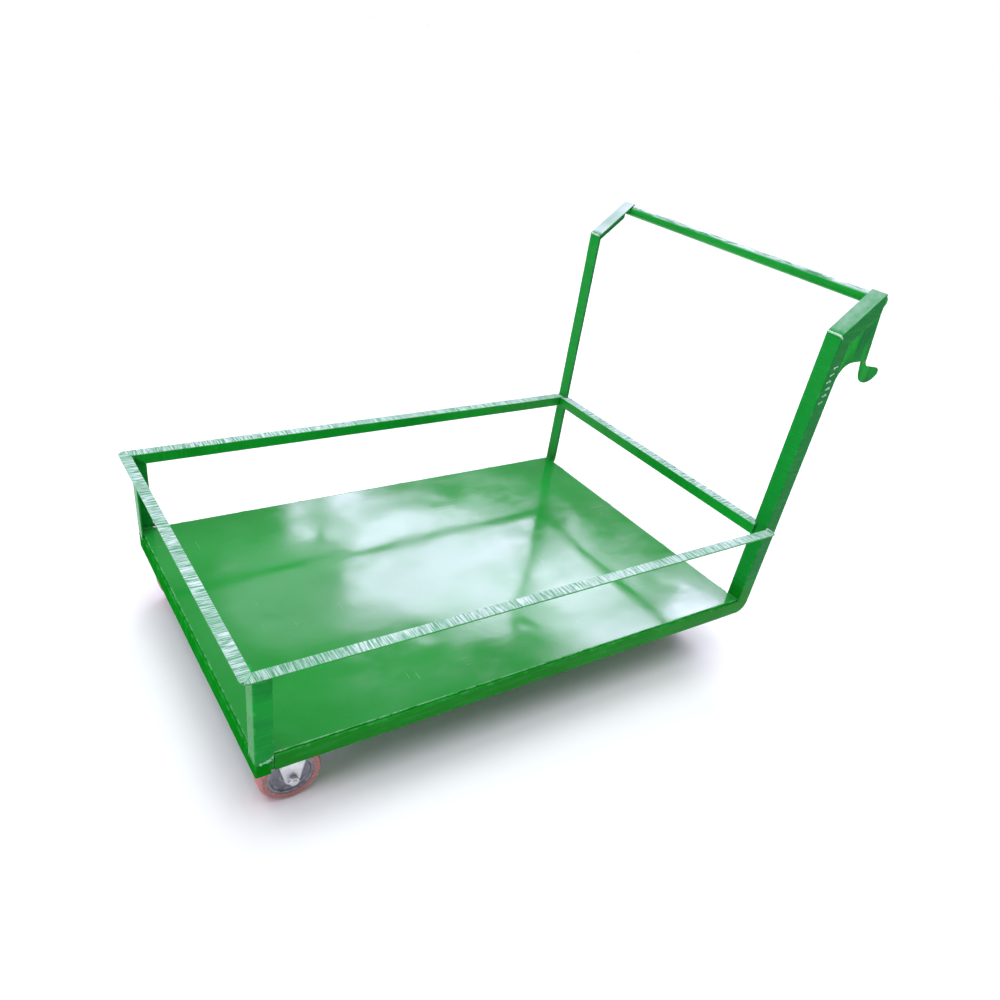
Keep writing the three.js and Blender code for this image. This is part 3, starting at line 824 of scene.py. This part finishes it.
def weld_rails(rails, pale):
    """Mitres and ends of the guard rail."""
    top, low, rear = RAIL_TOP, RAIL_TOP - RAIL, DECK_LENGTH
    pale.bead([(-18, -18, top - 0.9), (-1, -1, top - 0.9)], 2.6, 0.9, 3.0)
    pale.bead([(-18, WIDTH - 7, top - 0.9), (-1, WIDTH - RAIL + 1, top - 0.9)], 2.6, 0.9, 3.0)
    rails.bead([(2, -1.4, low + 0.4), (30, -1.4, low + 0.4)], 2.0, 0.6)
    rails.bead([(34, -0.8, low + 3), (34, -0.8, top - 5)], 1.8, 0.5)
    rails.bead([(-1.4, 3, low + 0.4), (-1.4, 31, low + 0.4)], 2.0, 0.6)
    pale.bead([(rear - 2, -1.0, top - 0.5), (RAIL_END - 1, -1.0, top - 0.5)], 2.2, 0.8, 3.0)
    pale.bead([(RAIL_END - 0.5, -1.2, top - 3), (RAIL_END - 0.5, -1.2, low + 2)], 2.4, 0.8, 3.0)
    rails.bead([(rear - 0.8, WIDTH - RAIL + 2, top - 0.6), (rear - 0.8, WIDTH - 2, top - 0.6)], 1.8, 0.5)
    rails.bead([(rear - 0.8, WIDTH - RAIL + 0.5, top - 3), (rear - 0.8, WIDTH - RAIL + 0.5, low + 2)],
               1.8, 0.5)
    rear_low, rear_high = span("guard_rail_rear")
    for y in (ANGLE + GAP, WIDTH - ANGLE - GAP):
        rails.bead([(rear_low.x + 13, y, top - 0.6), (rear_high.x - 2, y, top - 0.6)], 1.7, 0.5)


def weld_handle(handle, pale):
    """Round the grip, across the slopes and along the gusset, with six tacks below it."""
    grip_low, grip_high = span("grip_pipe")
    x, _, z = middle("grip_pipe")
    around = [math.pi * (0.55 + 0.9 * k / 10) for k in range(11)]
    for y in (grip_low.y + 0.8, grip_high.y - 0.8):
        handle.bead([(x + 12.2 * math.cos(a), y, z + 12.2 * math.sin(a)) for a in around], 1.8, 0.4)
    for y0, y1 in ((5, ANGLE + 1), (WIDTH - ANGLE - 1, WIDTH - 5)):
        line = on_slope(REACH - 20, ANGLE_T + 1)
        handle.bead([(line[0], y0, line[1]), (line[0], y1, line[1])], 2.0, 0.4)
    gusset_low = span("handle_gusset")[0]
    seam_top = on_slope(mitre(ANGLE), ANGLE)
    seam = DECK_LENGTH + ANGLE + 0.2
    handle.bead([(seam, 1.2, gusset_low.z + 2), (seam, 1.2, seam_top[1])], 1.5, 0.6)
    for k in range(6):
        x, z = DECK_LENGTH + 8 + 3 * (k % 3), gusset_low.z - 52 + 15 * k
        pale.bead([(x, 1.0, z), (x + 13, 1.0, z + 5)], 2.4, 0.8)
    slope_foot = on_slope(slope_end(ANGLE) - 4, ANGLE)
    handle.bead([(seam_top[0], 1.4, seam_top[1]), (slope_foot[0], 1.4, slope_foot[1])], 1.4, 0.5)


def make_welds():
    feet, rails, handle, under, pale, fill = (Shell() for _ in range(6))
    weld_frame(feet, pale, handle, under, fill)
    weld_rails(rails, pale)
    weld_handle(handle, pale)
    # the pale welds carry a painted highlight along the bends, mitres, feet and tacks
    for shell, name, paint in ((feet, "welds_feet_and_deck", weld_paint), (rails, "welds_rails", weld_paint),
                               (handle, "welds_handle", weld_paint), (under, "welds_underside", weld_paint),
                               (pale, "welds_painted_highlights", weld_highlight_paint), (fill, "welds_corners", front_paint)):
        shell.piece(name, paint, "green_enamel", body="frame", shake=0.0)
    hook_top = span("side_hook")[1].z
    burnt = Shell()
    burnt.bead([(HANDLE_CUT + 2, 1.5, hook_top - 1), (HANDLE_CUT + 15, 1.5, hook_top - 1)], 2.4, 0.5)
    burnt.bead([(POST - 1, WIDTH - 3, 12), (POST + 2, WIDTH - 3, 5), (POST + 11, WIDTH - 4, 1)],
               4.0, 0.6, 3.0)
    burnt.piece("weld_bare", weld_bare, "green_enamel", body="frame", shake=0.0)


# ---- Bolts ----
def hexagon(shell, centre, axis, low, high, across_flats):
    """A hexagon head or nut between two levels on its axis, chamfered at both ends."""
    corners = [(u, v, 0.5) for u, v in circle(across_flats / math.sqrt(3), 6)]
    outline = rounded(corners, flank=1.5, divide=4.0)
    rings = []
    for level, limit, wear in ((low, 0.90, 1), (low + 0.9, 1.0, 1), (low + 2, 1.2, 0), (high - 2, 1.2, 0),
                               (high - 0.9, 1.0, 1), (high, 0.90, 1)):
        ring = []
        for u, v, edge in outline:
            reach = math.hypot(u, v)
            shrink = min(1.0, limit * across_flats / 2 * 1.06 / reach)
            ring.append((about(centre, axis, u * shrink, level, v * shrink), max(edge, wear)))
        rings.append(ring)
    shell.loft(rings)


def thread(shell, centre, axis, low, high, radius, pitch=1.5):
    """A threaded stud end: a helical ridge on a rod."""
    count, around = round((high - low) / 0.375), circle(1, 24)
    rings = []
    for k in range(count + 1):
        level = low + (high - low) * k / count
        end = min(1.0, 0.72 + 0.28 * min(level - low, high - level) / 1.2)
        ring = []
        for i, (c, s) in enumerate(around):
            phase = (level / pitch - i / len(around)) % 1.0
            r = (radius - 0.75 * abs(2 * phase - 1)) * end
            ring.append((about(centre, axis, r * c, level, r * s), 0.3))
        rings.append(ring)
    shell.loft(rings)


def washer(shell, centre, axis, low, high, inner, outer):
    shell.turned([(inner, low, 0.2), (outer, low, 0.4), (outer, high, 0.4), (inner, high, 0.2)],
                 centre, axis, 40)


# ---- Casters ----
def fork(shell, x0, x1, axle_x, axle_y, top, lip=1.6):
    """A fork pressed from one strip: up one leg, across under the plate and down the other.

    It reaches from x0 to x1 at the top and ends in round tips about the axle.
    """
    half, bend, tip = LEG_INSIDE + LEG_T / 2, 5.0, 16.0
    foot, crown = AXLE_Z - tip, top - LEG_T / 2
    stations = []
    for k in range(9):
        z = foot + tip * (1 - math.cos(math.pi / 16 * k))
        stations.append((-half, z, (-1, 0)))
    leg = crown - bend - AXLE_Z
    stations += [(-half, AXLE_Z + leg * k / 6, (-1, 0)) for k in range(1, 7)]
    for k in range(1, 7):
        a = math.pi / 12 * k
        stations.append((-half + bend * (1 - math.cos(a)), crown - bend + bend * math.sin(a),
                         (-math.cos(a), math.sin(a))))
    stations += [(-half + bend + (half - bend) * k / 4, crown, (0, 1)) for k in range(1, 5)]
    stations += [(-y, z, (-n[0], n[1])) for y, z, n in reversed(stations[:-1])]
    rings = []
    for y, z, n in stations:
        up = max(0.0, min(1.0, (z - AXLE_Z) / (crown - bend - AXLE_Z)))
        left, right = axle_x - tip + (x0 - axle_x + tip) * up, axle_x + tip + (x1 - axle_x - tip) * up
        if z < AXLE_Z:
            width = math.sqrt(max(0.3, tip ** 2 - (AXLE_Z - z) ** 2))
            left, right = axle_x - width, axle_x + width
        raised = lip * abs(n[0]) * min(1.0, max(0.0, (z - foot) / 10)) * (1 - up) ** 0.3
        count, ring = 12, []
        for sign, order in ((1, range(count + 1)), (-1, range(count, -1, -1))):
            for k in order:
                t = 2 * k / count - 1
                edge = max(0.0, abs(t) - 0.7) / 0.3
                thick = LEG_T / 2 * (0.45 if k in (0, count) else 1.0) * sign
                out = thick + raised * edge * edge
                x = left + (right - left) * (t + 1) / 2
                ring.append(((x, axle_y + y + n[0] * out, z + n[1] * out), edge))
        rings.append(ring)
    shell.loft(rings)


def caster_plate(shell, x, y, low, high):
    half, across = PLATE_LENGTH / 2, PLATE_WIDTH / 2
    shell.bar(lambda i: rectangle((x - half, y - across), (x + half, y + across), 6.0, i),
              lambda s, u, v: (u, v, s), low, high, 10.0, 0.5)


def make_caster_screws(tag, x, y, low):
    """Four screws with washers, heads down, under the caster's plate."""
    shell = Shell()
    for dx in (-SCREW_X, SCREW_X):
        for dy in (-SCREW_Y, SCREW_Y):
            washer(shell, (x + dx, y + dy, 0), "z", low - WASHER_T, low, 4.2, 7.8)
            hexagon(shell, (x + dx, y + dy, 0), "z", low - 6.7, low - WASHER_T, 13)
    shell.piece(f"caster_screws_{tag}", bolt_zinc, "zinc_plate", body="frame", shake=0.0)


def both_sides(profile):
    """Adds a wheel profile's mirror image."""
    return profile + [(r, -h, edge) for r, h, edge in reversed(profile)]


def make_wheel(tag):
    low, high = span(f"wheel_tyre_{tag}")
    centre = (low + high) / 2
    core_low, core_high = span(f"wheel_core_{tag}")
    rim = (core_high.z - core_low.z) / 2
    hub = (core_high.y - core_low.y) / 2
    half = (high.y - low.y) / 2
    core = Shell()
    profile = [(10.3, -hub, 0.5), (16, -hub, 1.0), (19, -13.5, 3.0), (rim - 8, -13, 2.5),
               (rim - 5, -18.3, 1.2), (rim, -18.3, 0.8)]
    core.turned(both_sides(profile), centre, segments=72)
    core.shows(f"wheel_core_{tag}", core_iron, "wheel_iron", shake=0.2)
    tyre = Shell()
    inner = rim + 0.3
    profile = [(inner, -half + 1.2, 0.4), (inner + 2.2, -half + 0.4, 0.8), (WHEEL_RADIUS - 5, -half, 3.0),
               (WHEEL_RADIUS - 0.8, -half + 6, 3.5), (WHEEL_RADIUS, -half + 14, 6.0)]
    tyre.turned(both_sides(profile), centre, segments=96, divide=5.0)
    tyre.shows(f"wheel_tyre_{tag}", tyre_red, "wheel_tread", shake=0.0)


def make_axle(tag, hand):
    """Bolt, nut and bush. hand is 1 where the nut faces -y, and -1 where it faces +y."""
    low, high = span(f"axle_bush_{tag}")
    centre = (low + high) / 2
    outside = LEG_INSIDE + LEG_T

    def levels(a, b):
        return sorted((a * hand, b * hand))
    bolt = Shell()
    washer(bolt, centre, "y", *levels(outside + 0.05, outside + THIN_WASHER_T), 6.2, 11.5)
    hexagon(bolt, centre, "y", *levels(outside + THIN_WASHER_T, outside + 7.8), 19)
    thread(bolt, centre, "y", *levels(-outside - 12.5, -outside - 4), BOLT_RADIUS)
    rod = levels(-outside - 5, outside + 2)
    rod_radius = BOLT_RADIUS - 0.1
    bolt.turned([(0.01, rod[0], 0.001), (rod_radius, rod[0], 0.2), (rod_radius, rod[1], 0.2),
                 (0.01, rod[1], 0.001)], centre, segments=32)
    bolt.shows(f"axle_bolt_{tag}", bolt_zinc, "zinc_plate", shake=0.0)
    nut = Shell()
    washer(nut, centre, "y", *levels(-outside - WASHER_T, -outside - 0.05), 6.2, 11.5)
    hexagon(nut, centre, "y", *levels(-outside - 10, -outside - WASHER_T), 19)
    nut.shows(f"axle_nut_{tag}", bolt_zinc, "zinc_plate", shake=0.0)
    bush = Shell()
    half = (high.y - low.y) / 2
    washer(bush, centre, "y", -half, half, 6.3, 10.0)
    bush.shows(f"axle_bush_{tag}", bolt_zinc, "zinc_plate", shake=0.0)


def make_pad(tag):
    low, high = span(f"caster_pad_{tag}")
    shell = Shell()
    shell.bar(lambda i: rectangle(low.xy, high.xy, 1.5, i), lambda s, u, v: (u, v, s), low.z, high.z, 10.0)
    shell.shows(f"caster_pad_{tag}", front_paint)


def make_fixed_caster(side):
    tag = f"front_{side}"
    x, y, _ = middle(f"fixed_fork_{tag}")
    plate_high = span(f"fixed_fork_{tag}")[1].z
    plate_low = plate_high - PLATE_T
    shell = Shell()
    caster_plate(shell, x, y, plate_low, plate_high)
    fork(shell, x - 38, x + 38, x, y, plate_low - 0.05)
    for hand in (-1, 1):
        edge = y + hand * (LEG_INSIDE + 3)
        shell.bead([(x - 35, edge, plate_low - 1), (x + 35, edge, plate_low - 1)], 2.4)
    shell.shows(f"fixed_fork_{tag}", fork_zinc, "zinc_plate", shake=0.3)
    make_caster_screws(tag, x, y, plate_low)
    make_axle(tag, 1 if side == "near" else -1)


def make_swivel_caster(side):
    tag = f"rear_{side}"
    x, y, _ = middle(f"swivel_plate_{tag}")
    plate_low, plate_high = (c.z for c in span(f"swivel_plate_{tag}"))
    plate = Shell()
    caster_plate(plate, x, y, plate_low, plate_high)
    plate.shows(f"swivel_plate_{tag}", plate_zinc, "zinc_plate", shake=0.3)
    make_caster_screws(tag, x, y, plate_low)

    base, top = (c.z for c in span(f"swivel_race_{tag}"))
    race = Shell()
    half = [(12, 0, 0.3), (31, 0, 1.5), (34, 3.2, 1.0), (33, 4.4, 0.5), (27, 3.8, 0.6), (12, 4.2, 0.3)]
    for level, up in ((base, 1), (top, -1)):
        race.turned([(r, level + up * h, edge) for r, h, edge in half], (x, y, 0), "z")
    ball = 2.1
    for u, v in circle(30, 20):
        race.turned([(0.01, -ball, 0.001), (ball * 0.7, -ball * 0.7, 0.3), (ball, 0, 0.5),
                     (ball * 0.7, ball * 0.7, 0.3), (0.01, ball, 0.001)],
                    (x + u, y + v, (base + top) / 2), "z", 12)
    race.shows(f"swivel_race_{tag}", plate_zinc, "zinc_plate", shake=0.0)

    crown = span(f"swivel_fork_{tag}")[1].z
    body = Shell()
    fork(body, x - 22, x + 34, middle(f"axle_bush_{tag}").x, y, crown)
    body.turned([(9, crown - 4.6, 0.5), (26, crown - 4.6, 0.8), (28, crown - 0.1, 0.6),
                 (9, crown - 0.1, 0.3)], (x, y, 0), "z")
    body.shows(f"swivel_fork_{tag}", fork_zinc, "zinc_plate", shake=0.3)

    foot, head = (c.z for c in span(f"king_pin_{tag}"))
    pin = Shell()
    hexagon(pin, (x, y, 0), "z", foot, foot + 7.0, 17)
    pin_radius = BOLT_RADIUS - 0.1
    pin.turned([(0.01, foot + 6, 0.001), (pin_radius, foot + 6, 0.2), (pin_radius, head, 0.3),
                (0.01, head, 0.001)], (x, y, 0), "z", 32)
    pin.shows(f"king_pin_{tag}", bolt_zinc, "zinc_plate", shake=0.0)
    make_axle(tag, 1 if side == "near" else -1)


# ---- Surroundings ----
def make_camera():
    data = bpy.data.cameras.new("camera")
    data.sensor_width, data.lens = 36.0, 29.31
    data.shift_x, data.shift_y = 0.0428, 0.0759
    camera = new_object("camera", data)
    turn, tilt, roll = math.radians(-35.69), math.radians(90 - 34.62), math.radians(8.16)
    camera.matrix_world = (
        Matrix.Translation(at((-304.4, -931.1, 1083.9)))
        @ Matrix.Rotation(turn, 4, "Z") @ Matrix.Rotation(tilt, 4, "X") @ Matrix.Rotation(roll, 4, "Z"))
    bpy.context.scene.camera = camera


def softbox(name, azimuth, elevation, distance, size, radiance, spin=0):
    """A rectangular lamp aimed at the deck. Azimuth turns from +y to +x. In degrees and metres."""
    data = bpy.data.lights.new(name, "AREA")
    data.shape, data.size, data.size_y = "RECTANGLE", *size
    data.energy, data.color = radiance * math.pi * size[0] * size[1], (0.79, 0.67, 1.0)
    lamp = new_object(name, data)
    a, e = math.radians(azimuth), math.radians(elevation)
    away = Vector((math.sin(a) * math.cos(e), math.cos(a) * math.cos(e), math.sin(e)))
    target = at((DECK_LENGTH / 2, WIDTH / 2, 0))
    turn = away.to_track_quat("Z", "Y").to_matrix().to_4x4() @ Matrix.Rotation(math.radians(spin), 4, "Z")
    lamp.matrix_world = Matrix.Translation(target + away * distance) @ turn
    lamp.visible_camera = False


def make_sky():
    """A pale room that is bright overhead and dim all round, and plain white where it is looked at."""
    world = bpy.data.worlds.new("studio")
    bpy.context.scene.world = world
    world.use_nodes = True
    sky = Nodes(world.node_tree)
    room = sky.tree.nodes["Background"]
    sky.feed(room.inputs["Color"], (0.95, 0.98, 1.0))
    height = sky.along(sky.add("ShaderNodeTexCoord").outputs["Generated"], "Z")
    sky.feed(room.inputs["Strength"], sky.band(height, 0.77, 0.95, (0.32, 3.9)))
    seen = sky.add("ShaderNodeBackground", {"Color": (1.0, 1.0, 1.0)})
    camera_ray = sky.add("ShaderNodeLightPath").outputs["Is Camera Ray"]
    blend = sky.add("ShaderNodeMixShader", {0: camera_ray, 1: room.outputs[0], 2: seen.outputs[0]})
    sky.feed(sky.tree.nodes["World Output"].inputs["Surface"], blend.outputs[0])


def make_floor():
    mesh = bpy.data.meshes.new("floor")
    reach, level = 60.0, at((0, 0, FLOOR)).z
    mesh.from_pydata([(-reach, -reach, level), (reach, -reach, level), (reach, reach, level),
                      (-reach, reach, level)], [], [(0, 1, 2, 3)])
    floor = new_object("floor", mesh)
    f = Finish("floor")
    tone = f.noise(2, 4)
    colour = f.mix(tone, (0.86, 0.86, 0.86), (0.90, 0.90, 0.90))
    rough = f.band(tone, 0.3, 0.7, (0.85, 0.95))
    mesh.materials.append(f.done(colour, rough, f.bump(tone, 0.0001), Specular_IOR_Level=0.0))


def make_surroundings():
    bpy.context.scene.view_settings.view_transform = "Standard"
    make_sky()
    make_floor()
    for name, azimuth, elevation, distance, size, radiance, spin in (
        ("window_left", 33.9, 34.3, 4.06, (1.28, 0.84), 10.8, 0),
        ("window_right", 54.8, 35.3, 4.12, (1.22, 0.60), 10.8, -27),
        ("window_low", 64.4, 31.4, 4.20, (0.42, 0.26), 16.0, 0),
        ("small_pane_left", 17.2, 28.2, 4.11, (0.15, 0.40), 12.0, 0),
        ("small_pane_right", 21.9, 28.2, 4.11, (0.24, 0.40), 12.0, 0),
        ("window_dim", 15.7, 38.0, 4.20, (1.00, 0.60), 1.6, 0),
        ("front_fill", 262.0, 20.0, 5.0, (2.6, 1.6), 6.0, 0),
    ):
        softbox(name, azimuth, elevation, distance, size, radiance, spin)


make_camera()
make_deck()
for side in SIDES:
    make_side_bar(side)
make_front_bar()
make_under_bars()
make_posts()
make_rails()
make_grip()
make_gusset_and_hook()
make_welds()
for side in SIDES:
    for end in ("front", "rear"):
        make_wheel(f"{end}_{side}")
        make_pad(f"{end}_{side}")
    make_fixed_caster(side)
    make_swivel_caster(side)
make_surroundings()
